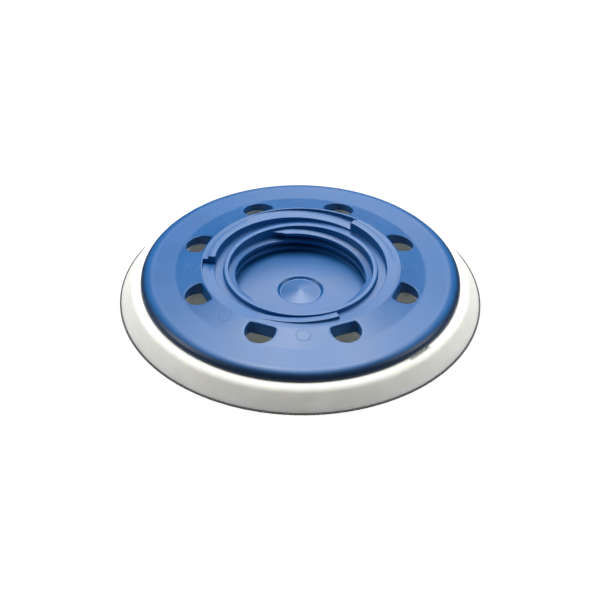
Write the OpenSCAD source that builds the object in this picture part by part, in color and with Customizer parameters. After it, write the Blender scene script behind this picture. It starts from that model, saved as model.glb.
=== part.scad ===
// Quick-change backing pad of a random orbital sander, hub side up.
// The origin is the centre of the hook face, and +Z points to the sander.

/* [Pad] */
// Diameter of the pad at the hook face
pad_d = 125; // [120:1:130]
// Thickness of the hook sheet with its hooks
hook_t = 0.8; // [0.6:0.1:1.4]
// Distance that the hook sheet reaches past the foam
hook_ledge = 0.5; // [0:0.1:0.8]
// Height of the foam's top face beside the plate
foam_z = 8; // [7.9:0.05:8.1]
// Slope of the foam's side, from upright
foam_lean = 31; // [25:1:34]
// Radius of the foam's shoulder
shoulder_r = 3.2; // [2:0.1:4]

/* [Plate] */
// Outer diameter of the plate's rim
plate_d = 110.2; // [109:0.2:111]
// Width of the rolled rim's round
rim_w = 4.4; // [3:0.1:4.6]
// Height of the rolled rim's round
rim_h = 3; // [2.6:0.1:3.2]
// Height of the rim's top
rim_z = 11.55; // [11.4:0.05:11.6]
// Height of the ridge line between the two cones
knee_z = 12.35; // [12.2:0.05:12.6]
// Height of the flat land round the ramps
land_z = 14.5; // [14.2:0.05:14.7]
// Height of the plate's underside
under_z = 9.7; // [9.5:0.1:10]

/* [Dust holes] */
// Number of dust holes
hole_n = 8; // [6:1:8]
// Radius of the circle that the dust holes lie on
hole_circle_r = 37.3; // [37:0.1:38]
// Radius of a hole's round part
hole_r = 5.2; // [4.6:0.1:5.4]
// Distance of a hole's flat side from the pad's axis
hole_flat_r = 34.85; // [34.8:0.05:35.5]
// Radius of a duct through the foam and the hook sheet
duct_r = 5; // [4.5:0.1:5.2]

/* [Socket] */
// Radius of the socket's wall, which is the thread's root
socket_r = 24.8; // [24.6:0.1:25]
// Radius of the thread's crest
crest_r = 22.5; // [22.4:0.1:23.2]
// Height of the socket's floor
floor_z = 4.2; // [4:0.1:4.4]
// Axial travel in one turn of the thread and of the ramps
lead = 9; // [8.4:0.1:9.2]
// Number of thread starts and of ramps
starts = 3; // [3:1:3]

/* [Hidden] */

$fn = 180;

pad_r = pad_d / 2;
plate_r = plate_d / 2;

// The plate's section, from the rim inwards
skirt_t = 2.2;
knee_r = 43.1;
land_r = 34.3;
track_r = 29.6;
ring_r = 26.5;
ring_z = 13.6;
channel_z = 11.95;
cup_r = 26.8;
cup_z = 2.2;
cup_chamfer = 1;
dimple_r = 7.75;
dimple_depth = 0.9;
dimple_foot_r = 7.2;
dimple_crown = 0.2;

// Ramps: each falls clockwise from its step face, and is wider where it lies below the land
ramp_step_a = 54.4;
ramp_high_z = 15.75;
ramp_high_r = 32.05;
ramp_low_r = 33.9;
ramp_inner_r = 28.4;
ramp_sweep = 360 / starts;
ramp_rise = lead / starts;
ramp_slices = 40;

// Thread: three ridges, 120 degrees apart, that fall clockwise into the socket's floor
thread_start_a = 114;
thread_top_z = 12.3;
thread_crest_h = 1.2;
thread_flank_h = 0.45;
thread_turn = (thread_top_z + 0.6 - floor_z) / lead * 360;
thread_slices = 60;
thread_taper_a = 14;
root_bite = 0.5;

// Dust holes and the foam's vent notch
hole_a = 24.4;
vent_a = -44;
vent_sweep = 10;
vent_r = 57;
vent_depth = 0.9;

over = 1;

// Points of an arc about c, from angle a0 to a1
function arc(c, r, a0, a1, n = 8) =
    [for (i = [0:n]) c + r * [cos(a0 + (a1 - a0) * i / n), sin(a0 + (a1 - a0) * i / n)]];

// Radius at which the foam's straight side passes a height
function side_r(z) = pad_r - hook_ledge - (z - hook_t) * tan(foam_lean);

// The gate dish in the socket's floor, from its edge to the axis: a sloping wall and a low cone
dimple = [
    [dimple_r, floor_z],
    [dimple_foot_r, floor_z - dimple_depth],
    [0, floor_z + dimple_crown],
];

plate_outline = concat(
    [
        [0, cup_z],
        [cup_r - cup_chamfer, cup_z],
        [cup_r, cup_z + cup_chamfer],
        [cup_r, under_z],
        [plate_r - skirt_t, under_z],
        [plate_r - skirt_t, foam_z],
        [plate_r, foam_z],
    ],
    [for (i = [0:10])
        let (a = 90 * i / 10)
        [plate_r - rim_w * (1 - cos(a)), rim_z - rim_h * (1 - sin(a))]],
    [
        [knee_r, knee_z],
        [land_r, land_z],
        [track_r - 1, land_z],
        [track_r - 1, ring_z],
        [socket_r, ring_z],
        [socket_r, floor_z],
    ],
    dimple
);

// The shoulder's centre, where an arc meets the flat top and the leaning side
shoulder_z = foam_z - shoulder_r;
shoulder_c = [side_r(shoulder_z) - shoulder_r / cos(foam_lean), shoulder_z];

foam_outline = concat(
    [
        [0, hook_t],
        [pad_r - hook_ledge, hook_t],
    ],
    arc(shoulder_c, shoulder_r, foam_lean, 90),
    [
        [plate_r - skirt_t, foam_z],
        [plate_r - skirt_t, under_z],
        [cup_r, under_z],
        [cup_r, cup_z + cup_chamfer],
        [cup_r - cup_chamfer, cup_z],
        [0, cup_z],
    ]
);

// A solid with a four-sided section at each step of a clockwise turn. A section lists
// [radius, height] from its lower inner corner outwards and round.
module sweep(sections, angles) {
    n = len(sections);
    points = [for (i = [0:n - 1]) for (p = sections[i])
        [p[0] * cos(angles[i]), p[0] * sin(angles[i]), p[1]]];
    sides = [for (i = [0:n - 2]) for (j = [0:3])
        let (a = 4 * i + j, b = 4 * i + (j + 1) % 4)
        [[a, b + 4, b], [a, a + 4, b + 4]]];
    faces = concat(
        [for (pair = sides) for (t = pair) t],
        [[0, 1, 2, 3]],
        [[4 * n - 1, 4 * n - 2, 4 * n - 3, 4 * n - 4]]
    );
    polyhedron(points, faces);
}

// Height and outer radius of a ramp, u = 0 at its step face and 1 at its foot. The ramp widens
// where it passes the land.
land_u = (ramp_high_z - land_z) / ramp_rise;
widening_u = 0.12;
function ramp_z(u) = ramp_high_z - ramp_rise * u;
function ramp_r(u) = ramp_high_r
    + (ramp_low_r - ramp_high_r) * max(0, min(1, (u - land_u) / widening_u + 0.5));

// The wedge between a ramp's surface and the height z, from u0 to u1
module ramp_wedge(step_a, u0, u1, z) {
    us = [for (i = [0:ramp_slices]) u0 + (u1 - u0) * i / ramp_slices];
    sweep(
        [for (u = us)
            let (low = min(z, ramp_z(u)), high = max(z, ramp_z(u)))
            [[ramp_inner_r, low], [ramp_r(u), low], [ramp_r(u), high], [ramp_inner_r, high]]],
        [for (u = us) step_a - ramp_sweep * u]
    );
}

// One thread ridge, whose lower edge falls away from a pointed start
module thread_ridge(start_a) {
    outer = socket_r + root_bite;
    lowest = cup_z + 0.1;
    sweep(
        [for (i = [0:thread_slices])
            let (
                turn = thread_turn * i / thread_slices,
                full = min(1, 0.1 + turn / thread_taper_a),
                top = thread_top_z - lead * turn / 360
            )
            [
                [crest_r, max(lowest, top - thread_crest_h * full)],
                [outer, max(lowest, top - (thread_crest_h + thread_flank_h) * full)],
                [outer, top + thread_flank_h * full],
                [crest_r, top],
            ]],
        [for (i = [0:thread_slices]) start_a - thread_turn * i / thread_slices]
    );
}

// A dust hole with its flat side towards the axis
module dust_hole(z0, z1) {
    intersection() {
        translate([hole_circle_r, 0, z0])
            cylinder(r = hole_r, h = z1 - z0);
        translate([hole_flat_r, -hole_r - over, z0 - over])
            cube([2 * hole_r, 2 * (hole_r + over), z1 - z0 + 2 * over]);
    }
}

// What is given, once at each dust hole's angle
module at_holes() {
    for (i = [0:hole_n - 1])
        rotate(hole_a + i * 360 / hole_n)
            children();
}

// The round ducts, between two heights
module ducts(z0, z1) {
    at_holes()
        translate([hole_circle_r, 0, z0])
            cylinder(r = duct_r, h = z1 - z0, $fn = 72);
}

module hub_plate() {
    lap_u = 0.004;
    color([0.23, 0.47, 0.72])
    difference() {
        union() {
            rotate_extrude()
                polygon(plate_outline);
            for (k = [0:starts - 1]) {
                ramp_wedge(ramp_step_a + k * ramp_sweep, -lap_u, land_u, land_z - 2);
                thread_ridge(thread_start_a + k * 360 / starts);
            }
        }
        for (k = [0:starts - 1])
            ramp_wedge(ramp_step_a + k * ramp_sweep, land_u, 1, ramp_high_z + over);
        // the annular channel between the ring and the ramps
        translate([0, 0, channel_z])
            difference() {
                cylinder(r = track_r, h = ramp_high_z);
                translate([0, 0, -over])
                    cylinder(r = ring_r, h = ramp_high_z + 2 * over);
            }
        at_holes()
            dust_hole(under_z - over, land_z + over);
    }
}

module foam_body() {
    color([0.94, 0.94, 0.91])
    difference() {
        rotate_extrude()
            polygon(foam_outline);
        ducts(hook_t - over, under_z + over);
        // the vent notch at the foot of the plate's rim
        rotate([0, 0, vent_a - vent_sweep / 2])
            translate([0, 0, foam_z - vent_depth])
                rotate_extrude(angle = vent_sweep)
                    translate([plate_r - skirt_t / 2, 0])
                        square([vent_r - plate_r + skirt_t / 2, vent_depth + over]);
    }
}

module hook_layer() {
    color([0.27, 0.28, 0.27])
    difference() {
        cylinder(r = pad_r, h = hook_t);
        ducts(-over, hook_t + over);
    }
}

hub_plate();
foam_body();
hook_layer();
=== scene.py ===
"""Looks of a quick-change backing pad for a random orbital sander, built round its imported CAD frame."""

import math

import bmesh
import bpy
from bpy.props import FloatProperty, FloatVectorProperty, IntProperty, PointerProperty
from mathutils import Matrix, Vector, noise


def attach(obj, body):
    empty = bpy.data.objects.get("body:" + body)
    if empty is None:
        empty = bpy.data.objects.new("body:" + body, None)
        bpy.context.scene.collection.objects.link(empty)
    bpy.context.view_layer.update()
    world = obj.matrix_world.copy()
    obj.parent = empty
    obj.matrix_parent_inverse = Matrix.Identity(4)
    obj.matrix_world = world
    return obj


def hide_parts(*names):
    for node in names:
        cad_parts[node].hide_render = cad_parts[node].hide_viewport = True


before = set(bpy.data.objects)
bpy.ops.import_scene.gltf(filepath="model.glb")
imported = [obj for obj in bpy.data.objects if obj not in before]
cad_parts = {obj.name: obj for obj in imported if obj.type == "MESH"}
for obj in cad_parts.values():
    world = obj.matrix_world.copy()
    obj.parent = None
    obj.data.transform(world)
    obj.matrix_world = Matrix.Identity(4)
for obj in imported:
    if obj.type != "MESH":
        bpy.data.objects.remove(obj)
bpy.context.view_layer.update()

bl_info = {
    "name": "Sander backing pad",
    "version": (1, 0, 0),
    "blender": (4, 5, 0),
    "location": "View3D > Sidebar > Backing pad",
    "description": "Builds a quick-change backing pad: hub moulding, foam disc and hook layer",
    "category": "Object",
}

MM = 0.001
WELD = 0.5e-6
BODY = "root"

TURN = 2 * math.pi
STARTS = 3
THIRD = TURN / STARTS
HOLES = 8
HOLE_GAP = TURN / HOLES

# Mesh density
SMOOTH_ANGLE = 0.6
HUB_SLICE = math.radians(0.8)
DISC_SLICE = math.radians(0.75)
ANGLE_SLACK = 1e-7
LOOP_CROWDING = 1.3
# Mesh rings of the socket's flat floor, and of the outer cone past the knee, in millimetres
FLOOR_RINGS = (22.0, 20.0, 17.0, 14.0, 11.5)
CONE_RINGS = (0.4, 1.2, 2.6, 4.2, 5.8, 7.2)
RIM_STEPS = 12
SHOULDER_STEPS = 10
# Shares of the edge radius at which a ramp has slices beside its step face
EASE_MARKS = (0.25, 0.6, 1.0)

# Small measures of the hub moulding
HOLE_ROUND = 0.35 * MM
SKIRT_BEVEL = 0.15 * MM
CUP_CHAMFER = MM
CUP_RING = 14 * MM
LIP_ROUND = 0.3 * MM
LIP_DRAFT = 0.05 * MM
LIP_DEPTH = 0.7 * MM
THREAD_ROOF = 0.75 * MM
RIDGE_ROUND = 0.16 * MM
DISH_SLOPE = 0.55 * MM
DISH_ROUND = 0.4 * MM
DISH_BORDER = 1.6 * MM
CONE_CROWN = 0.2 * MM
# The blunt tip of the dish's cone: its height as a share of the crown, and (radius, rise) in mm
TIP_SHARE = 0.93
TIP = ((0.4, 0.0), (0.2, 0.01), (0.0, 0.012))
# A ridge begins as a blunt point, then grows to its full depth and height
POINT_ANGLE = math.radians(0.3)
POINT_SHARE = 0.12
DEPTH_ANGLE = math.radians(13)
HEIGHT_ANGLE = math.radians(14)
# Share of a ramp over which it widens where it passes the land
WIDENING = 0.12

# Small measures of the foam and the hook sheet
DUCTS_INNER = 30 * MM
DUCTS_OUTER = 45 * MM
FOAM_BEVEL = 0.12 * MM
FOAM_RING = 12 * MM
# Distances in millimetres from the plate's skirt to the rings of the foam's flat top
TOP_RINGS = (3.0, 2.6, 2.1, 1.3)
HIDDEN_RING = 1.0 * MM
VENT_START = 1.1 * MM
VENT_EASE = math.radians(0.5)
SHEET_BEVEL = 0.1 * MM
SHEET_CLEAR = 0.05 * MM
HOOK_REACH = 0.36 * MM
HOOK_SUNK = 0.05 * MM
EDGE_ROW_GAP = 0.2 * MM
WEAVE_PITCH = 3 * MM

# Lamps: name, position, width, height and power
LAMPS = (
    ("softbox_back", (0.05, 0.98, 0.92), 0.40, 1.00, 7.2),
    ("softbox_top", (0.0, 0.46, 1.38), 0.95, 0.72, 25.0),
    ("softbox_left", (-1.05, -0.05, 0.55), 0.5, 0.5, 4.5),
    ("softbox_right", (1.05, -0.05, 0.55), 0.5, 0.5, 4.0),
)
WORLD_LEVEL = 0.10
GROUND_GLOW = 0.92


def length(name, description, millimetres):
    """A length property, given in millimetres and kept in metres."""
    return FloatProperty(
        name=name,
        description=description,
        default=millimetres * MM,
        precision=5,
        unit="LENGTH",
        subtype="DISTANCE",
    )


def angle(name, description, degrees):
    """An angle property, given in degrees and kept in radians."""
    return FloatProperty(
        name=name,
        description=description,
        default=math.radians(degrees),
        unit="ROTATION",
        subtype="ANGLE",
    )


def colour(name, description, red, green, blue):
    """A linear colour property."""
    return FloatVectorProperty(
        name=name,
        description=description,
        default=(red, green, blue),
        size=3,
        min=0,
        max=1,
        subtype="COLOR",
    )


class PAD_PG_hub(bpy.types.PropertyGroup):
    """Sizes of the hub moulding."""

    rim_radius: length("Rim radius", "Outer radius of the plate", 55.1)
    rim_width: length("Rim width", "Width of the rolled rim's round", 4.4)
    rim_height: length("Rim height", "Height of the rolled rim's round", 3.0)
    rim_top: length("Rim top", "Height of the rolled rim's top", 11.55)
    skirt: length("Skirt", "Thickness of the skirt under the rim", 2.2)
    foot: length("Skirt foot", "Height of the skirt's lower edge", 8.0)
    under: length("Underside", "Height of the plate's underside", 9.7)
    knee_radius: length("Knee radius", "Radius of the soft line between the two cones", 43.1)
    knee_top: length("Knee height", "Height of that line", 12.35)
    land_radius: length("Land radius", "Outer radius of the flat land round the ramps", 34.3)
    land_top: length("Land height", "Height of the flat land", 14.5)
    track_radius: length("Track radius", "Inner radius of the ramps", 29.6)
    high_top: length("Ramp high end", "Height of a ramp beside its step face", 15.75)
    high_radius: length("High end radius", "Outer radius of a ramp that stands above the land", 32.05)
    low_radius: length("Low end radius", "Outer radius of a ramp that lies below the land", 33.9)
    step_angle: angle("First step face", "Direction of the first step face", 54.4)
    channel_floor: length("Channel floor", "Height of the channel's floor", 11.95)
    ring_radius: length("Ring radius", "Outer radius of the ring round the socket", 26.5)
    ring_top: length("Ring top", "Height of the ring's lip", 13.6)
    socket_radius: length("Socket radius", "Radius of the socket's wall", 24.8)
    socket_floor: length("Socket floor", "Height of the socket's floor", 4.2)
    crest_radius: length("Thread crest", "Radius of the thread's crest", 22.5)
    crest_height: length("Crest height", "Height of the thread's crest", 1.2)
    flank_height: length("Flank height", "Height that a flank adds between crest and root", 0.45)
    thread_top: length("Thread top", "Height of a ridge's upper edge at its start", 12.3)
    thread_angle: angle("First thread start", "Direction of the first ridge's start", 114.0)
    lead: length("Lead", "Axial travel in one turn of the thread and the ramps", 9.0)
    dish_radius: length("Dish radius", "Radius of the gate dish in the socket's floor", 7.75)
    dish_depth: length("Dish depth", "Depth of the dish at its edge", 0.9)
    cup_radius: length("Cup radius", "Outer radius of the socket cup", 26.8)
    cup_foot: length("Cup foot", "Height of the cup's underside", 2.2)
    hole_angle: angle("First dust hole", "Direction of the first dust hole", 24.4)
    hole_circle: length("Hole circle", "Radius of the circle that the dust holes lie on", 37.3)
    hole_radius: length("Hole radius", "Radius of a hole's round part", 5.2)
    hole_flat: length("Hole flat", "Distance of a hole's flat side from the axis", 34.85)
    hole_corner: length("Hole corner", "Radius of the hole's two corners", 0.8)
    edge: length("Edge radius", "Radius of the moulding's small edges", 0.22)
    shade: colour("Plastic", "Colour of the blue plastic", 0.003, 0.085, 0.27)


class PAD_PG_foam(bpy.types.PropertyGroup):
    """Sizes of the foam disc."""

    radius: length("Radius", "Radius of the foam at the hook sheet", 62.0)
    foot: length("Foot", "Height of the foam's lower face", 0.8)
    top: length("Top", "Height of the foam beside the plate", 8.0)
    lean: angle("Lean", "Slope of the foam's side, from upright", 31.0)
    shoulder: length("Shoulder", "Radius of the foam's shoulder", 3.2)
    duct: length("Duct radius", "Radius of a dust duct", 5.0)
    vent_angle: angle("Vent notch", "Direction of the vent notch", -44.0)
    vent_sweep: angle("Vent width", "Width of the vent notch as an angle", 10.0)
    vent_depth: length("Vent depth", "Depth of the vent notch", 0.9)
    vent_radius: length("Vent radius", "Radius that the vent notch reaches", 57.0)
    waviness: length("Waviness", "Unevenness of the foam's moulded skin", 0.05)
    shade: colour("Foam", "Colour of the white foam", 0.89, 0.89, 0.83)


class PAD_PG_hooks(bpy.types.PropertyGroup):
    """Sizes of the hook sheet and its hooks."""

    backing: length("Backing", "Thickness of the backing that holds the hooks", 0.5)
    ledge: length("Ledge", "Distance that the sheet reaches past the foam", 0.47)
    pitch: length("Pitch", "Distance between two hooks in a row", 1.5)
    wire: length("Wire", "Thickness of a hook's wire", 0.2)
    margin: length("Margin", "Distance that the hooks keep from an edge", 0.24)
    seed: IntProperty(name="Seed", description="Seed of the hooks' random turns", default=7)
    shade: colour("Hook sheet", "Colour of the hook sheet", 0.055, 0.058, 0.055)


class PAD_PG_stage(bpy.types.PropertyGroup):
    """Camera and light."""

    elevation: angle("Elevation", "Height of the camera above the horizon, as an angle", 37.6967)
    distance: length("Distance", "Distance from the camera to the pad", 825.17)
    lens: FloatProperty(name="Lens", description="Focal length in millimetres", default=142.5546)
    roll: angle("Roll", "Turn of the camera about its own axis", 0.8365)
    shift_x: FloatProperty(name="Shift X", description="Sideways shift", default=-0.00042)
    shift_y: FloatProperty(name="Shift Y", description="Upward shift", default=-0.00134)
    floor_size: length("Floor size", "Width of the floor", 8000.0)


# Mesh building


class Shell:
    """Faces of one closed shell, gathered patch by patch and welded at the end."""

    def __init__(self):
        self.points = []
        self.faces = []

    def grid(self, rows, ring=False):
        """Adds quads between rows of points; ring joins the last row to the first."""
        start = len(self.points)
        count = len(rows[0])
        for row in rows:
            self.points.extend(row)
        for i in range(len(rows) if ring else len(rows) - 1):
            a = start + i * count
            b = start + (i + 1) % len(rows) * count
            for j in range(count - 1):
                self.faces.append((a + j, b + j, b + j + 1, a + j + 1))

    def face(self, points):
        """Adds one flat face."""
        start = len(self.points)
        self.points.extend(points)
        self.faces.append(tuple(range(start, start + len(points))))

    def finish(self, name):
        """Welds the patches into a new object, checks that it is closed, and returns it."""
        mesh = bpy.data.meshes.new(name)
        mesh.from_pydata(self.points, [], self.faces)
        bm = bmesh.new()
        bm.from_mesh(mesh)
        bmesh.ops.remove_doubles(bm, verts=bm.verts, dist=WELD)
        bmesh.ops.dissolve_degenerate(bm, edges=bm.edges, dist=WELD)
        bmesh.ops.delete(bm, geom=[v for v in bm.verts if not v.link_faces], context="VERTS")
        bmesh.ops.recalc_face_normals(bm, faces=bm.faces)
        gaps = [e for e in bm.edges if len(e.link_faces) != 2]
        if gaps:
            places = [tuple(round(x / MM, 3) for x in e.verts[0].co) for e in gaps[:6]]
            raise RuntimeError(f"{name}: {len(gaps)} edges aren't closed, at {places}")
        for f in bm.faces:
            f.smooth = True
        for e in bm.edges:
            e.smooth = e.calc_face_angle(0) < SMOOTH_ANGLE
        bm.to_mesh(mesh)
        bm.free()
        made = bpy.data.objects.new(name, mesh)
        bpy.context.scene.collection.objects.link(made)
        return made


def polar(radius, direction, height):
    """A point from its radius, direction and height."""
    return (radius * math.cos(direction), radius * math.sin(direction), height)


def spread(first, last, step):
    """Even values from first to last, no further apart than step."""
    count = max(1, math.ceil(abs(last - first) / step - 1e-6))
    return [first + (last - first) * i / count for i in range(count + 1)]


def blend(a, b, share_of_b):
    """A point between a and b."""
    return tuple(p + (q - p) * share_of_b for p, q in zip(a, b))


def smoothstep(value):
    """0 below 0, 1 above 1, and a soft ramp between."""
    value = min(1.0, max(0.0, value))
    return value * value * (3 - 2 * value)


def rounded(path, radius, steps=3):
    """A path of (radius, height) corners with each inner corner rounded."""
    made = [path[0]]
    for before, corner, after in zip(path, path[1:], path[2:]):
        into = Vector(before) - Vector(corner)
        out = Vector(after) - Vector(corner)
        size = min(radius, into.length * 0.45, out.length * 0.45)
        if size < WELD:
            made.extend([corner] * (steps + 1))
            continue
        a = Vector(corner) + into.normalized() * size
        b = Vector(corner) + out.normalized() * size
        for i in range(steps + 1):
            t = i / steps
            made.append(tuple(a * (1 - t) ** 2 + Vector(corner) * 2 * t * (1 - t) + b * t * t))
    made.append(path[-1])
    return made


class DustHole:
    """Outline of a dust hole, seen from its own centre, with its flat side towards the axis."""

    def __init__(self, radius, flat=None, corner=0.0):
        self.radius = radius
        self.flat = flat
        self.corner = corner

    def reach(self, direction, grow=0.0):
        """Distance from the centre to the outline, which may be grown outwards."""
        if self.flat is None:
            return self.radius + grow
        lean = abs(math.remainder(direction - math.pi, 2 * math.pi))
        inner = self.radius - self.corner
        near = self.flat - self.corner
        rise = math.sqrt(inner * inner - near * near)
        if lean >= math.atan2(rise, near):
            return self.radius + grow
        straight = (self.flat + grow) / math.cos(lean)
        if straight * math.sin(lean) <= rise:
            return straight
        along = near * math.cos(lean) + rise * math.sin(lean)
        return along + math.sqrt(along * along - inner * inner + (self.corner + grow) ** 2)


def sector_border(inner, outer, slices, radial_step):
    """Corner points (radius, direction) round a sector of a ring, anticlockwise."""
    out = spread(inner, outer, radial_step)
    loop = [(inner, a) for a in reversed(slices)]
    loop += [(r, slices[0]) for r in out[1:-1]]
    loop += [(outer, a) for a in slices]
    loop += [(r, slices[-1]) for r in reversed(out[1:-1])]
    return loop


def flat(level):
    """A level surface, as the height at a radius."""
    return lambda radius: level


def sunk(surface, drop):
    """A surface that lies lower than another by drop."""
    return lambda radius: surface(radius) - drop


def holed_sector(shell, border, centre, direction, hole, surface, walls, loops=6):
    """A patch of a ring with one hole, and the first stretch of the hole's wall.

    walls lists (grow, surface) steps of the hole's edge, from the deepest up."""
    cx, cy, _ = polar(centre, direction, 0)
    rows = []
    for radius, at in border + border[:1]:
        x, y, _ = polar(radius, at, 0)
        facing = math.atan2(y - cy, x - cx)
        row = []
        for grow, level in walls:
            reach = hole.reach(facing - direction, grow)
            px = cx + reach * math.cos(facing)
            py = cy + reach * math.sin(facing)
            row.append((px, py, level(math.hypot(px, py))))
        edge = row[-1]
        for i in range(1, loops + 1):
            px, py, _ = blend(edge, (x, y, 0), (i / loops) ** LOOP_CROWDING)
            row.append((px, py, surface(math.hypot(px, py))))
        row[-1] = polar(radius, at, surface(radius))
        rows.append(row)
    shell.grid(rows)


def sector_slices(slices, low, high):
    """The slices that lie in one sector, with both of its borders."""
    return [a for a in slices if low - ANGLE_SLACK <= a <= high + ANGLE_SLACK]


def disc_slices(hub):
    """Borders of the sectors that hold one duct each, and the directions of a disc's slices."""
    first = (hub.hole_angle - HOLE_GAP / 2) % HOLE_GAP
    borders = [first + k * HOLE_GAP for k in range(HOLES + 1)]
    turned = []
    for a, b in zip(borders, borders[1:]):
        turned += spread(a, b, DISC_SLICE)[:-1]
    turned.append(borders[-1])
    return borders, turned


def ducted_faces(shell, hub, hole, faces):
    """The stretch of a disc's faces that the ducts pass; faces lists (level, walls)."""
    borders, turned = disc_slices(hub)
    for low, high in zip(borders, borders[1:]):
        border = sector_border(DUCTS_INNER, DUCTS_OUTER, sector_slices(turned, low, high), 1.5 * MM)
        at = (low + high) / 2
        for level, walls in faces:
            holed_sector(shell, border, hub.hole_circle, at, hole, flat(level), walls, 3)


def turned_shape(shell, slices, path):
    """Adds a surface of revolution from its (radius, height) path."""
    shell.grid([[polar(r, a, h) for r, h in path] for a in slices])


# Shader building


class Wire:
    """One socket of a shader, so that a mask is written as a sum or a product."""

    def __init__(self, shader, socket):
        self.shader = shader
        self.socket = socket

    def _math(self, operation, first, second=0.0):
        return self.shader.make("ShaderNodeMath", {"operation": operation}, {0: first, 1: second})

    def __add__(self, other):
        return self._math("ADD", self, other)

    def __radd__(self, other):
        return self._math("ADD", other, self)

    def __sub__(self, other):
        return self._math("SUBTRACT", self, other)

    def __rsub__(self, other):
        return self._math("SUBTRACT", other, self)

    def __mul__(self, other):
        return self._math("MULTIPLY", self, other)

    def __rmul__(self, other):
        return self._math("MULTIPLY", other, self)

    def __pow__(self, other):
        return self._math("POWER", self, other)

    def size(self):
        """Its absolute value."""
        return self._math("ABSOLUTE", self)

    def within(self, low, high):
        """0 at low, 1 at high, clamped; low may be the greater."""
        settings = {"interpolation_type": "SMOOTHSTEP"}
        return self.shader.make("ShaderNodeMapRange", settings, {0: self, 1: low, 2: high})


class Shader:
    """A material whose surface is one Principled BSDF."""

    def __init__(self, name):
        self.material = bpy.data.materials.new(name)
        self.material.use_nodes = True
        self.tree = self.material.node_tree
        self.tree.nodes.clear()

    def make(self, kind, settings=None, sockets=None, output=0):
        """A node from its type, its settings, and the values or links of its sockets."""
        node = self.tree.nodes.new(kind)
        for name, value in (settings or {}).items():
            setattr(node, name, value)
        for name, value in (sockets or {}).items():
            if isinstance(value, Wire):
                self.tree.links.new(value.socket, node.inputs[name])
            else:
                node.inputs[name].default_value = value
        return Wire(self, node.outputs[output]) if len(node.outputs) else None

    def place(self):
        """The point on the object, in metres."""
        return self.make("ShaderNodeTexCoord", output="Object")

    def speckle(self, place, size, detail=2.0, roughness=0.5):
        """Noise whose blotches are about size across, from 0 to 1."""
        sockets = {"Vector": place, "Scale": 1 / size, "Detail": detail, "Roughness": roughness}
        return self.make("ShaderNodeTexNoise", None, sockets)

    def cells(self, place, size):
        """Distance to the middle of Voronoi cells about size across."""
        return self.make("ShaderNodeTexVoronoi", None, {"Vector": place, "Scale": 1 / size}, "Distance")

    def tint(self, factor, first, second):
        """A colour between first and second."""
        settings = {"data_type": "RGBA", "blend_type": "MIX"}
        first = first if isinstance(first, Wire) else (*first, 1)
        second = second if isinstance(second, Wire) else (*second, 1)
        return self.make("ShaderNodeMix", settings, {0: factor, 6: first, 7: second}, 2)

    def split(self, place):
        """The three coordinates of a point."""
        node = self.tree.nodes.new("ShaderNodeSeparateXYZ")
        self.tree.links.new(place.socket, node.inputs[0])
        return [Wire(self, o) for o in node.outputs]

    def bump(self, height, depth, strength=1.0, under=None):
        """A bump of a depth in metres."""
        sockets = {"Height": height, "Distance": depth, "Strength": strength}
        if under is not None:
            sockets["Normal"] = under
        return self.make("ShaderNodeBump", None, sockets)

    def surface(self, **sockets):
        """Ends the material in a Principled BSDF and returns the material."""
        named = {name.replace("_", " "): value for name, value in sockets.items()}
        surface = self.make("ShaderNodeBsdfPrincipled", None, named)
        self.make("ShaderNodeOutputMaterial", None, {"Surface": surface})
        return self.material


def scaled(shade, factor):
    """A colour made darker or lighter."""
    return tuple(min(1.0, c * factor) for c in shade)


def plastic(sizes):
    """Blue glass-filled polyamide from a fine spark-eroded mould."""
    shader = Shader("moulded_plastic")
    place = shader.place()
    x, y, z = shader.split(place)
    radius = (x * x + y * y) ** 0.5
    base = tuple(sizes.shade)
    cloud = shader.speckle(place, 14 * MM, 3.0)
    fibre = shader.speckle(place, 0.7 * MM, 3.0, 0.7)
    hue = shader.tint(cloud.within(0.3, 0.7), scaled(base, 0.94), scaled(base, 1.06))
    hue = shader.tint(fibre.within(0.45, 0.8) * 0.25, hue, scaled(base, 1.25))

    # Painted shade: the rim's outer face is painted darker towards the skirt, where shade falls on it
    low_part = z.within(11.2 * MM, 10.2 * MM)
    outer_part = radius.within(50 * MM, 51 * MM)
    hue = shader.tint(low_part * outer_part * 0.8, hue, scaled(base, 0.08))

    # One faint ejector mark half-way between each two dust holes
    middle = sizes.hole_angle + HOLE_GAP / 2
    turn = shader.make("ShaderNodeMath", {"operation": "ARCTAN2"}, {0: y, 1: x})
    wrapped = {0: turn - middle, 1: HOLE_GAP / 2, 2: -HOLE_GAP / 2}
    local = shader.make("ShaderNodeMath", {"operation": "WRAP"}, wrapped)
    reach = ((radius - sizes.hole_circle) ** 2.0 + (local * sizes.hole_circle) ** 2.0) ** 0.5
    circle = (reach - 2.4 * MM).size().within(0.22 * MM, 0.05 * MM)
    mark = circle * z.within(10 * MM, 11 * MM)

    grain = shader.speckle(place, 0.22 * MM, 2.0)
    sink = shader.speckle(place, 9 * MM, 1.0)
    polish = radius.within(sizes.dish_radius + 0.3 * MM, sizes.dish_radius - 0.3 * MM)
    waves = shader.bump(sink, 0.05 * MM, 0.6)
    marked = shader.bump(1 - mark, 0.06 * MM, 0.8, waves)
    normal = shader.bump(grain, 0.012 * MM, 0.55, marked)
    rough = 0.36 + cloud.within(0.35, 0.75) * 0.06 + fibre * 0.05 - polish * 0.08
    return shader.surface(Base_Color=hue, Roughness=rough, IOR=1.5, Normal=normal)


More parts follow.
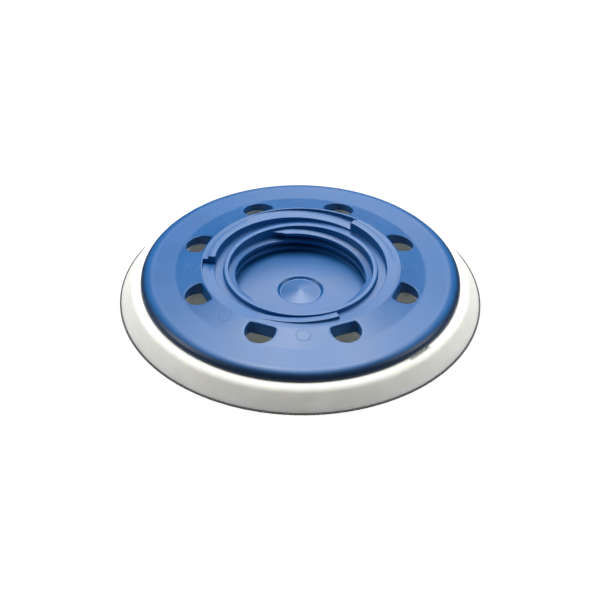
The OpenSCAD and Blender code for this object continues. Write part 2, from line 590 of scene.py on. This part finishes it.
def foam_skin(sizes):
    """White integral-skin polyurethane foam with fine pores."""
    shader = Shader("foam_skin")
    place = shader.place()
    x, y, _ = shader.split(place)
    base = tuple(sizes.shade)
    blotch = shader.speckle(place, 8 * MM, 3.0)
    pores = shader.cells(place, 0.55 * MM)
    fine = shader.speckle(place, 0.25 * MM, 2.0)
    hue = shader.tint(blotch.within(0.3, 0.75), scaled(base, 0.96), scaled(base, 1.05))
    # Painted shade: the pores' pits are painted darker, standing in for the shade inside them
    pit = pores.within(0.22, 0.05)
    hue = shader.tint(pit * 0.35, hue, scaled(base, 0.72))
    # Painted shade: the foam inside the ring of ducts, seen only down the dust holes, is painted a darker
    # grey-olive
    radius = (x * x + y * y) ** 0.5
    duct_shade = radius.within(sizes.radius - 12 * MM, sizes.radius - 16 * MM)
    hue = shader.tint(duct_shade * 0.55, hue, (0.66, 0.66, 0.58))
    skin = shader.bump(blotch, 0.12 * MM, 0.5)
    pitted = shader.bump(1 - pit, 0.05 * MM, 0.5, skin)
    normal = shader.bump(fine, 0.02 * MM, 0.5, pitted)
    return shader.surface(
        Base_Color=hue,
        Roughness=0.62 + fine * 0.2,
        IOR=1.45,
        Normal=normal,
        Subsurface_Weight=0.4,
        Subsurface_Radius=(0.9, 0.8, 0.6),
        Subsurface_Scale=5 * MM,
    )


def hook_fabric(sizes):
    """Dark grey backing and wire of the hook sheet."""
    shader = Shader("hook_fabric")
    place = shader.place()
    base = tuple(sizes.shade)
    weave = shader.make(
        "ShaderNodeTexWave",
        {"wave_type": "BANDS", "bands_direction": "X"},
        {"Vector": place, "Scale": 0.32 / WEAVE_PITCH, "Distortion": 1.2, "Detail": 2.0},
    )
    lint = shader.speckle(place, 0.9 * MM, 3.0, 0.7)
    hue = shader.tint(lint.within(0.35, 0.75), scaled(base, 0.7), scaled(base, 1.45))
    normal = shader.bump(weave * 0.5 + lint * 0.5, 0.08 * MM, 0.6)
    return shader.surface(Base_Color=hue, Roughness=0.6 + lint * 0.3, IOR=1.5, Normal=normal)


# The pieces


def hub_slices(sizes):
    """Directions of the slices, one list for each stretch between two special directions."""
    steps = [sizes.step_angle + k * THIRD for k in range(STARTS)]
    starts = [sizes.thread_angle + k * THIRD for k in range(STARTS)]
    webs = [sizes.hole_angle + (k + 0.5) * HOLE_GAP for k in range(HOLES)]
    eased = [s - sizes.edge * e / sizes.track_radius for s in steps for e in EASE_MARKS]
    points = [s - POINT_ANGLE for s in starts]
    marks = sorted({round(a % TURN, 9) for a in steps + starts + webs + eased + points})
    return [spread(a, b, HUB_SLICE) for a, b in zip(marks, marks[1:] + [marks[0] + TURN])]


def next_mark(direction, first, count):
    """The first of count even marks that lies anticlockwise from a direction."""
    gap = TURN / count
    return first + math.ceil((direction - first) / gap - 1e-9) * gap


def thread_ridge(sizes, top, full, depth):
    """Section of one thread ridge as (radius, height), from its upper root down.

    full goes from 0 to 1 as the ridge grows to its height, and depth is its own depth."""
    root = sizes.socket_radius
    crest = sizes.socket_radius - depth
    flank = sizes.flank_height * full
    tall = sizes.crest_height * full
    path = [
        (root, top + flank),
        (crest, top),
        (crest, top - tall),
        (root, top - tall - flank),
    ]
    return rounded(path, RIDGE_ROUND * min(1, 3 * full), 4)


def socket_wall(sizes, turn):
    """The socket's wall at an angle past the last thread start, from the lip to the floor."""
    roof = sizes.ring_top - THREAD_ROOF
    path = []
    for block in range(-1, STARTS):
        top = sizes.thread_top - sizes.lead * (turn / TURN + block / STARTS)
        full = 1.0 if block > 0 else 0.0
        depth = full
        if block == 0:
            begun = smoothstep(turn / POINT_ANGLE)
            depth = begun * min(1, POINT_SHARE + turn / DEPTH_ANGLE)
            full = begun * min(1, POINT_SHARE + turn / HEIGHT_ANGLE)
        depth = depth * (sizes.socket_radius - sizes.crest_radius)
        path.extend(thread_ridge(sizes, top, full, depth))
    path = [(r, min(roof, h)) for r, h in path]
    path = [(sizes.socket_radius, roof)] + path + [(sizes.socket_radius, sizes.socket_floor - MM)]
    made = []
    landed = None
    for before, point in zip([path[0]] + path, path):
        if landed is None and point[1] <= sizes.socket_floor:
            t = (before[1] - sizes.socket_floor) / (before[1] - point[1])
            landed = (before[0] + (point[0] - before[0]) * t, sizes.socket_floor)
        made.append(landed or point)
    return made


def ramp_section(sizes, part, step_gap):
    """The land, ramp and channel wall; part is 0 at the step face and 1 at the foot.

    step_gap is the distance from the step face along the track's inner edge."""
    edge = sizes.edge
    rise = sizes.lead / STARTS
    level = (sizes.high_top - sizes.land_top) / rise
    widened = smoothstep((part - level) / WIDENING + 0.5)
    outer = sizes.high_radius + (sizes.low_radius - sizes.high_radius) * widened
    ease = min(1.0, max(0.0, 1 - step_gap / edge))
    high = sizes.high_top - rise * part - edge * (1 - math.sqrt(1 - ease * ease))
    corners = [
        (sizes.low_radius + edge, sizes.land_top),
        (outer, sizes.land_top),
        (outer, high),
        (sizes.track_radius, high),
        (sizes.track_radius, sizes.high_top - rise - edge),
    ]
    return [(sizes.land_radius, sizes.land_top)] + rounded(corners, edge)


def floor_section(sizes):
    """The socket's floor from its wall to the axis, with the gate dish and its low cone."""
    floor = sizes.socket_floor
    bottom = floor - sizes.dish_depth
    dish = sizes.dish_radius
    foot = dish - DISH_SLOPE
    crown = sizes.dish_depth + CONE_CROWN

    def cone(part):
        return (foot * part, bottom + crown * (1 - part))

    path = [(dish + DISH_BORDER, floor), (dish, floor), (foot, bottom), cone(0.9)]
    path = rounded(path, DISH_ROUND, 4)
    path += [cone(part) for part in spread(0.8, 0.2, 0.1) + [0.12]]
    peak = bottom + crown * TIP_SHARE
    path += [(r * MM, peak + rise * MM) for r, rise in TIP]
    return [(r * MM, floor) for r in FLOOR_RINGS] + path


def inner_section(sizes, direction, step, start):
    """One slice's section from the land's edge to the axis.

    step and start are the next step face and the next thread start anticlockwise."""
    part = max(0.0, step - direction) / THIRD
    turn = max(0.0, start - direction)
    path = ramp_section(sizes, part, (step - direction) * sizes.track_radius)
    lip = sizes.ring_top
    ring = [
        (sizes.track_radius, sizes.channel_floor),
        (sizes.ring_radius, sizes.channel_floor),
        (sizes.ring_radius - LIP_DRAFT, lip),
        (sizes.socket_radius, lip),
        (sizes.socket_radius, lip - LIP_DEPTH),
    ]
    path += rounded([path[-1]] + ring, LIP_ROUND, 4)[1:-1]
    return path + socket_wall(sizes, turn) + floor_section(sizes)


def step_face(shell, sizes, direction):
    """The flat face between a ramp's high end and the next ramp's foot."""
    high = ramp_section(sizes, 0.0, 0.0)[1:]
    low = ramp_section(sizes, 1.0, 1.0)[1:]
    loop = high + low[-2:0:-1]
    points = []
    for r, h in loop:
        point = polar(r, direction, h)
        if not points or (Vector(point) - Vector(points[-1])).length > WELD:
            points.append(point)
    shell.face(points)


def hub_middle(shell, sizes, stretches):
    """The land, ramps, channel, ring and socket."""
    for stretch in stretches:
        middle = (stretch[0] + stretch[-1]) / 2
        step = next_mark(middle, sizes.step_angle, STARTS)
        start = next_mark(middle, sizes.thread_angle, STARTS)
        rows = []
        for a in stretch:
            rows.append([polar(r, a, h) for r, h in inner_section(sizes, a, step, start)])
        shell.grid(rows)
    for k in range(STARTS):
        step_face(shell, sizes, sizes.step_angle + k * THIRD)


def hub_holes(shell, sizes, turned):
    """The inner cone and the underside below it, with the dust holes between them."""
    fall = (sizes.land_top - sizes.knee_top) / (sizes.knee_radius - sizes.land_radius)

    def top(radius):
        return sizes.land_top - max(0.0, radius - sizes.land_radius) * fall

    under = flat(sizes.under)
    hole = DustHole(sizes.hole_radius, sizes.hole_circle - sizes.hole_flat, sizes.hole_corner)
    wall = [(0.0, under)]
    for i in range(5):
        q = math.pi / 2 * i / 4
        wall.append((HOLE_ROUND * (1 - math.cos(q)), sunk(top, HOLE_ROUND * (1 - math.sin(q)))))
    twice = turned + [a + TURN for a in turned[1:]]
    for k in range(HOLES):
        low = (sizes.hole_angle + (k - 0.5) * HOLE_GAP) % TURN
        at = low + HOLE_GAP / 2
        slices = sector_slices(twice, low, low + HOLE_GAP)
        border = sector_border(sizes.land_radius, sizes.knee_radius, slices, 0.9 * MM)
        holed_sector(shell, border, sizes.hole_circle, at, hole, top, wall)
        holed_sector(shell, border, sizes.hole_circle, at, hole, under, [(0.0, under)], 2)


def hub_rim(shell, sizes, turned):
    """The outer cone, the rolled rim, the skirt and the underside."""
    rim = sizes.rim_radius - sizes.rim_width
    slope = (sizes.knee_top - sizes.rim_top) / (rim - sizes.knee_radius)
    outer = [(sizes.knee_radius, sizes.knee_top)]
    for r in CONE_RINGS:
        outer.append((sizes.knee_radius + r * MM, sizes.knee_top - r * MM * slope))
    for i in range(RIM_STEPS + 1):
        q = math.pi / 2 * (1 - i / RIM_STEPS)
        drop = sizes.rim_height * (1 - math.sin(q))
        outer.append((rim + sizes.rim_width * math.cos(q), sizes.rim_top - drop))
    inner_wall = sizes.rim_radius - sizes.skirt
    outer += [
        (sizes.rim_radius, sizes.foot + SKIRT_BEVEL),
        (sizes.rim_radius - SKIRT_BEVEL, sizes.foot),
        (inner_wall, sizes.foot),
        (inner_wall, sizes.under),
        (sizes.knee_radius, sizes.under),
    ]
    inner = [
        (sizes.land_radius, sizes.under),
        (sizes.cup_radius, sizes.under),
        (sizes.cup_radius, sizes.cup_foot + CUP_CHAMFER),
        (sizes.cup_radius - CUP_CHAMFER, sizes.cup_foot),
        (CUP_RING, sizes.cup_foot),
        (0.0, sizes.cup_foot),
    ]
    for path in (outer, inner):
        turned_shape(shell, turned, path)


def build_hub(sizes):
    """The blue moulding, in one closed shell."""
    shell = Shell()
    stretches = hub_slices(sizes)
    turned = sorted(a for s in stretches for a in s[:-1])
    turned.append(turned[0] + TURN)
    hub_middle(shell, sizes, stretches)
    hub_holes(shell, sizes, turned)
    hub_rim(shell, sizes, turned)
    return shell.finish("hub_moulding")


def foam_section(sizes, hub, direction):
    """The foam's outer section, from its lower face up to the plate's underside."""
    def side(height):
        return sizes.radius - (height - sizes.foot) * math.tan(sizes.lean)

    level = sizes.top - sizes.shoulder
    centre = side(level) - sizes.shoulder / math.cos(sizes.lean)
    skirt = hub.rim_radius - hub.skirt
    bevel = side(sizes.foot) - FOAM_BEVEL
    path = [(r, sizes.foot) for r in (DUCTS_OUTER, 60 * MM, bevel)]
    start = level + sizes.shoulder * math.sin(sizes.lean)
    path += [(side(h), h) for h in spread(sizes.foot + FOAM_BEVEL, start, 0.7 * MM)]
    for i in range(1, SHOULDER_STEPS + 1):
        q = sizes.lean + (math.pi / 2 - sizes.lean) * i / SHOULDER_STEPS
        path.append((centre + sizes.shoulder * math.cos(q), level + sizes.shoulder * math.sin(q)))
    path += [(skirt + r * MM, sizes.top) for r in TOP_RINGS]

    gap = abs(math.remainder(direction - sizes.vent_angle, TURN))
    notch = sizes.top - sizes.vent_depth * smoothstep((sizes.vent_sweep / 2 - gap) / VENT_EASE)
    path = [(r, min(h, notch) if skirt + VENT_START < r < sizes.vent_radius else h) for r, h in path]
    path += [(skirt + HIDDEN_RING, sizes.top), (skirt, sizes.top)]
    return path + [(skirt, hub.under), (DUCTS_OUTER, hub.under)]


def build_foam(sizes, hub):
    """The white foam disc with its eight ducts."""
    shell = Shell()
    _, turned = disc_slices(hub)
    rows = []
    for a in turned:
        row = []
        for r, h in foam_section(sizes, hub, a):
            if r > 56 * MM and sizes.foot + 0.2 * MM < h:
                spot = Vector(polar(r, a, h)) / (9 * MM)
                r += sizes.waviness * (noise.noise(spot) - 0.5)
            row.append(polar(r, a, h))
        rows.append(row)
    rows[-1] = rows[0]
    shell.grid(rows)
    inner = [
        (DUCTS_INNER, hub.under),
        (hub.cup_radius, hub.under),
        (hub.cup_radius, hub.cup_foot + CUP_CHAMFER),
        (hub.cup_radius - CUP_CHAMFER, hub.cup_foot),
        (FOAM_RING, hub.cup_foot),
        (0.0, hub.cup_foot),
    ]
    turned_shape(shell, turned, inner)
    turned_shape(shell, turned, [(r, sizes.foot) for r in (0.0, FOAM_RING, DUCTS_INNER)])
    wall = [(0.0, flat(h)) for h in spread(sizes.foot, hub.under, 1.2 * MM)]
    faces = [(hub.under, wall), (sizes.foot, [(0.0, flat(sizes.foot))])]
    ducted_faces(shell, hub, DustHole(sizes.duct), faces)
    return shell.finish("foam_disc")


def build_backing(sizes, foam, hub):
    """The sheet that holds the hooks."""
    shell = Shell()
    upper = foam.foot
    lower = foam.foot - sizes.backing
    rim = foam.radius + sizes.ledge
    _, turned = disc_slices(hub)
    outer = [
        (DUCTS_OUTER, upper),
        (rim - SHEET_BEVEL, upper),
        (rim, upper - SHEET_BEVEL),
        (rim, lower + SHEET_BEVEL),
        (rim - SHEET_BEVEL, lower),
        (DUCTS_OUTER, lower),
    ]
    for path in (outer, [(DUCTS_INNER, upper), (0.0, upper)], [(DUCTS_INNER, lower), (0.0, lower)]):
        turned_shape(shell, turned, path)
    wall = [(0.0, flat(lower)), (0.0, flat(upper))]
    faces = [(upper, wall), (lower, [(0.0, flat(lower))])]
    ducted_faces(shell, hub, DustHole(foam.duct + SHEET_CLEAR), faces)
    return shell.finish("hook_backing")


def hook_roots(sizes, foam, hub):
    """Points of the hooks: rows clear of the edge and the ducts, and one row round the edge."""
    points = []
    row_gap = sizes.pitch * math.sqrt(3) / 2
    rows = int(foam.radius / row_gap) + 1
    columns = int(foam.radius / sizes.pitch) + 1
    height = foam.foot - sizes.backing + HOOK_SUNK
    centres = [polar(hub.hole_circle, hub.hole_angle + k * HOLE_GAP, 0) for k in range(HOLES)]
    limit = foam.radius + sizes.ledge - sizes.margin
    clear = foam.duct + sizes.margin
    for j in range(-rows, rows + 1):
        for i in range(-columns, columns + 1):
            x = (i + 0.5 * (j % 2)) * sizes.pitch
            y = j * row_gap
            if math.hypot(x, y) > limit:
                continue
            if min(math.hypot(x - c[0], y - c[1]) for c in centres) < clear:
                continue
            points.append((x, y, height))
    outermost = limit - EDGE_ROW_GAP
    count = int(TURN * outermost / (sizes.pitch / 2))
    for k in range(count):
        points.append(polar(outermost, TURN * k / count, height))
    return points


def hook_tree(material):
    """Geometry nodes: a bent wire hook on each point, turned at random."""
    tree = bpy.data.node_groups.new("hook_field", "GeometryNodeTree")
    face = tree.interface
    face.new_socket("Geometry", in_out="INPUT", socket_type="NodeSocketGeometry")
    for name, kind in (("Drop", "Float"), ("Reach", "Float"), ("Wire", "Float"), ("Seed", "Int")):
        face.new_socket(name, in_out="INPUT", socket_type="NodeSocket" + kind)
    face.new_socket("Geometry", in_out="OUTPUT", socket_type="NodeSocketGeometry")

    def node(kind, sockets=None, **settings):
        made = tree.nodes.new(kind)
        for name, value in settings.items():
            setattr(made, name, value)
        for name, value in (sockets or {}).items():
            if isinstance(value, bpy.types.NodeSocket):
                tree.links.new(value, made.inputs[name])
            else:
                made.inputs[name].default_value = value
        return made

    given = node("NodeGroupInput").outputs
    drop, reach, wire = given["Drop"], given["Reach"], given["Wire"]

    def times(socket, factor):
        return node("ShaderNodeMath", {0: socket, 1: factor}, operation="MULTIPLY").outputs[0]

    def at(x, z):
        return node("ShaderNodeCombineXYZ", {"X": x, "Z": z}).outputs[0]

    bend = node(
        "GeometryNodeCurvePrimitiveBezierSegment",
        {
            "Resolution": 3,
            "Start": at(0.0, 0.0),
            "Start Handle": at(0.0, times(drop, -1.35)),
            "End Handle": at(times(reach, 0.85), times(drop, -1.25)),
            "End": at(reach, times(drop, -0.55)),
        },
        mode="POSITION",
    )
    section = node("GeometryNodeCurvePrimitiveCircle", {"Resolution": 4, "Radius": times(wire, 0.5)})
    hook = node(
        "GeometryNodeCurveToMesh",
        {"Curve": bend.outputs[0], "Profile Curve": section.outputs[0], "Fill Caps": True},
    )
    turn = node(
        "FunctionNodeRandomValue",
        {"Min": (0.0, 0.0, 0.0), "Max": (0.0, 0.0, TURN), "Seed": given["Seed"]},
        data_type="FLOAT_VECTOR",
    )
    placed = node(
        "GeometryNodeInstanceOnPoints",
        {"Points": given["Geometry"], "Instance": hook.outputs[0], "Rotation": turn.outputs[0]},
    )
    real = node("GeometryNodeRealizeInstances", {"Geometry": placed.outputs[0]})
    painted = node("GeometryNodeSetMaterial", {"Geometry": real.outputs[0], "Material": material})
    node("NodeGroupOutput", {"Geometry": painted.outputs[0]})
    return tree


def build_hooks(sizes, foam, hub, material):
    """The field of hooks under the sheet, as one plain mesh."""
    mesh = bpy.data.meshes.new("hook_roots")
    mesh.from_pydata(hook_roots(sizes, foam, hub), [], [])
    roots = bpy.data.objects.new("hook_roots", mesh)
    bpy.context.scene.collection.objects.link(roots)
    modifier = roots.modifiers.new("hooks", "NODES")
    tree = hook_tree(material)
    drop = foam.foot - sizes.backing
    values = {
        "Drop": drop - sizes.wire / 2,
        "Reach": HOOK_REACH,
        "Wire": sizes.wire,
        "Seed": sizes.seed,
    }
    modifier.node_group = tree
    for socket in tree.interface.items_tree:
        if socket.name in values and socket.in_out == "INPUT":
            modifier[socket.identifier] = values[socket.name]
    bpy.context.view_layer.update()
    graph = bpy.context.evaluated_depsgraph_get()
    plain = bpy.data.meshes.new_from_object(roots.evaluated_get(graph))
    made = bpy.data.objects.new("hook_field", plain)
    bpy.context.scene.collection.objects.link(made)
    bpy.data.objects.remove(roots)
    low = min(v.co.z for v in plain.vertices)
    if low < 0:
        plain.transform(Matrix.Translation((0, 0, -low)))
    return made


def hand_over(piece, material, nodes=()):
    """Gives a finished piece its material and body, and hides the CAD nodes that it stands for."""
    if material is not None:
        piece.data.materials.clear()
        piece.data.materials.append(material)
    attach(piece, BODY)
    if nodes:
        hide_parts(*nodes)


class PAD_OT_hub(bpy.types.Operator):
    """Makes the blue hub moulding"""

    bl_idname = "pad.hub"
    bl_label = "Hub moulding"

    def execute(self, context):
        sizes = context.scene.pad_hub
        piece = build_hub(sizes)
        hand_over(piece, plastic(sizes), ["hub_plate"])
        return {"FINISHED"}


class PAD_OT_foam(bpy.types.Operator):
    """Makes the white foam disc"""

    bl_idname = "pad.foam"
    bl_label = "Foam disc"

    def execute(self, context):
        scene = context.scene
        piece = build_foam(scene.pad_foam, scene.pad_hub)
        hand_over(piece, foam_skin(scene.pad_foam), ["foam_body"])
        return {"FINISHED"}


class PAD_OT_hooks(bpy.types.Operator):
    """Makes the hook sheet and its field of hooks"""

    bl_idname = "pad.hooks"
    bl_label = "Hook layer"

    def execute(self, context):
        scene = context.scene
        material = hook_fabric(scene.pad_hooks)
        sheet = build_backing(scene.pad_hooks, scene.pad_foam, scene.pad_hub)
        field = build_hooks(scene.pad_hooks, scene.pad_foam, scene.pad_hub, material)
        hand_over(sheet, material, ["hook_layer"])
        hand_over(field, None)
        return {"FINISHED"}


def softbox(name, position, width, height, power):
    """A soft rectangular light that faces the pad."""
    data = bpy.data.lights.new(name, "AREA")
    data.shape = "RECTANGLE"
    data.size = width
    data.size_y = height
    data.energy = power
    lamp = bpy.data.objects.new(name, data)
    lamp.location = position
    lamp.rotation_euler = (-Vector(position)).to_track_quat("-Z", "Y").to_euler()
    bpy.context.scene.collection.objects.link(lamp)


def floor_paint():
    """Plain white ground that keeps only a faint contact shadow."""
    shader = Shader("ground")
    place = shader.place()
    cloud = shader.speckle(place, 0.4, 2.0)
    hue = shader.tint(cloud, (0.12, 0.12, 0.12), (0.13, 0.13, 0.13))
    body = shader.make("ShaderNodeBsdfDiffuse", None, {"Color": hue})
    glow = shader.make("ShaderNodeEmission", None, {"Color": (1, 1, 1, 1), "Strength": GROUND_GLOW})
    seen = shader.make("ShaderNodeLightPath", output="Is Camera Ray")
    lit = shader.make("ShaderNodeAddShader", None, {0: body, 1: glow})
    mixed = shader.make("ShaderNodeMixShader", None, {0: seen, 1: body, 2: lit})
    shader.make("ShaderNodeOutputMaterial", None, {"Surface": mixed})
    return shader.material


class PAD_OT_stage(bpy.types.Operator):
    """Makes the floor, the lights and the camera"""

    bl_idname = "pad.stage"
    bl_label = "Stage"

    def execute(self, context):
        scene = context.scene
        sizes = scene.pad_stage
        half = sizes.floor_size / 2
        mesh = bpy.data.meshes.new("ground")
        corners = [(-half, -half, 0), (half, -half, 0), (half, half, 0), (-half, half, 0)]
        mesh.from_pydata(corners, [], [(0, 1, 2, 3)])
        mesh.materials.append(floor_paint())
        ground = bpy.data.objects.new("ground", mesh)
        scene.collection.objects.link(ground)

        for lamp in LAMPS:
            softbox(*lamp)
        world = bpy.data.worlds.new("studio")
        world.use_nodes = True
        grey = (WORLD_LEVEL, WORLD_LEVEL, WORLD_LEVEL, 1)
        world.node_tree.nodes["Background"].inputs[0].default_value = grey
        scene.world = world

        data = bpy.data.cameras.new("camera")
        data.sensor_width = 36
        data.lens = sizes.lens
        data.shift_x = sizes.shift_x
        data.shift_y = sizes.shift_y
        data.clip_start = 0.01
        camera = bpy.data.objects.new("camera", data)
        back = Vector((0, -math.cos(sizes.elevation), math.sin(sizes.elevation)))
        turn = (-back).to_track_quat("-Z", "Y").to_matrix() @ Matrix.Rotation(sizes.roll, 3, "Z")
        camera.location = back * sizes.distance
        camera.rotation_euler = turn.to_euler()
        scene.collection.objects.link(camera)
        scene.camera = camera
        scene.view_settings.view_transform = "Standard"
        return {"FINISHED"}


class PAD_PT_panel(bpy.types.Panel):
    """Lists the pad's pieces and their sizes"""

    bl_idname = "PAD_PT_panel"
    bl_label = "Backing pad"
    bl_space_type = "VIEW_3D"
    bl_region_type = "UI"
    bl_category = "Backing pad"

    def draw(self, context):
        layout = self.layout
        for operator, group in STEPS:
            layout.operator(operator)
            sizes = getattr(context.scene, group)
            for name in sizes.bl_rna.properties.keys():
                if name not in ("name", "rna_type"):
                    layout.prop(sizes, name)


STEPS = (
    ("pad.stage", "pad_stage"),
    ("pad.hub", "pad_hub"),
    ("pad.foam", "pad_foam"),
    ("pad.hooks", "pad_hooks"),
)
GROUPS = {
    "pad_hub": PAD_PG_hub,
    "pad_foam": PAD_PG_foam,
    "pad_hooks": PAD_PG_hooks,
    "pad_stage": PAD_PG_stage,
}
CLASSES = (*GROUPS.values(), PAD_OT_hub, PAD_OT_foam, PAD_OT_hooks, PAD_OT_stage, PAD_PT_panel)


def register():
    for cls in CLASSES:
        bpy.utils.register_class(cls)
    for name, group in GROUPS.items():
        setattr(bpy.types.Scene, name, PointerProperty(type=group))


def unregister():
    for name in GROUPS:
        delattr(bpy.types.Scene, name)
    for cls in reversed(CLASSES):
        bpy.utils.unregister_class(cls)


def main():
    """Builds every piece."""
    register()
    bpy.ops.pad.stage()
    bpy.ops.pad.hub()
    bpy.ops.pad.foam()
    bpy.ops.pad.hooks()


if __name__ == "__main__":
    main()
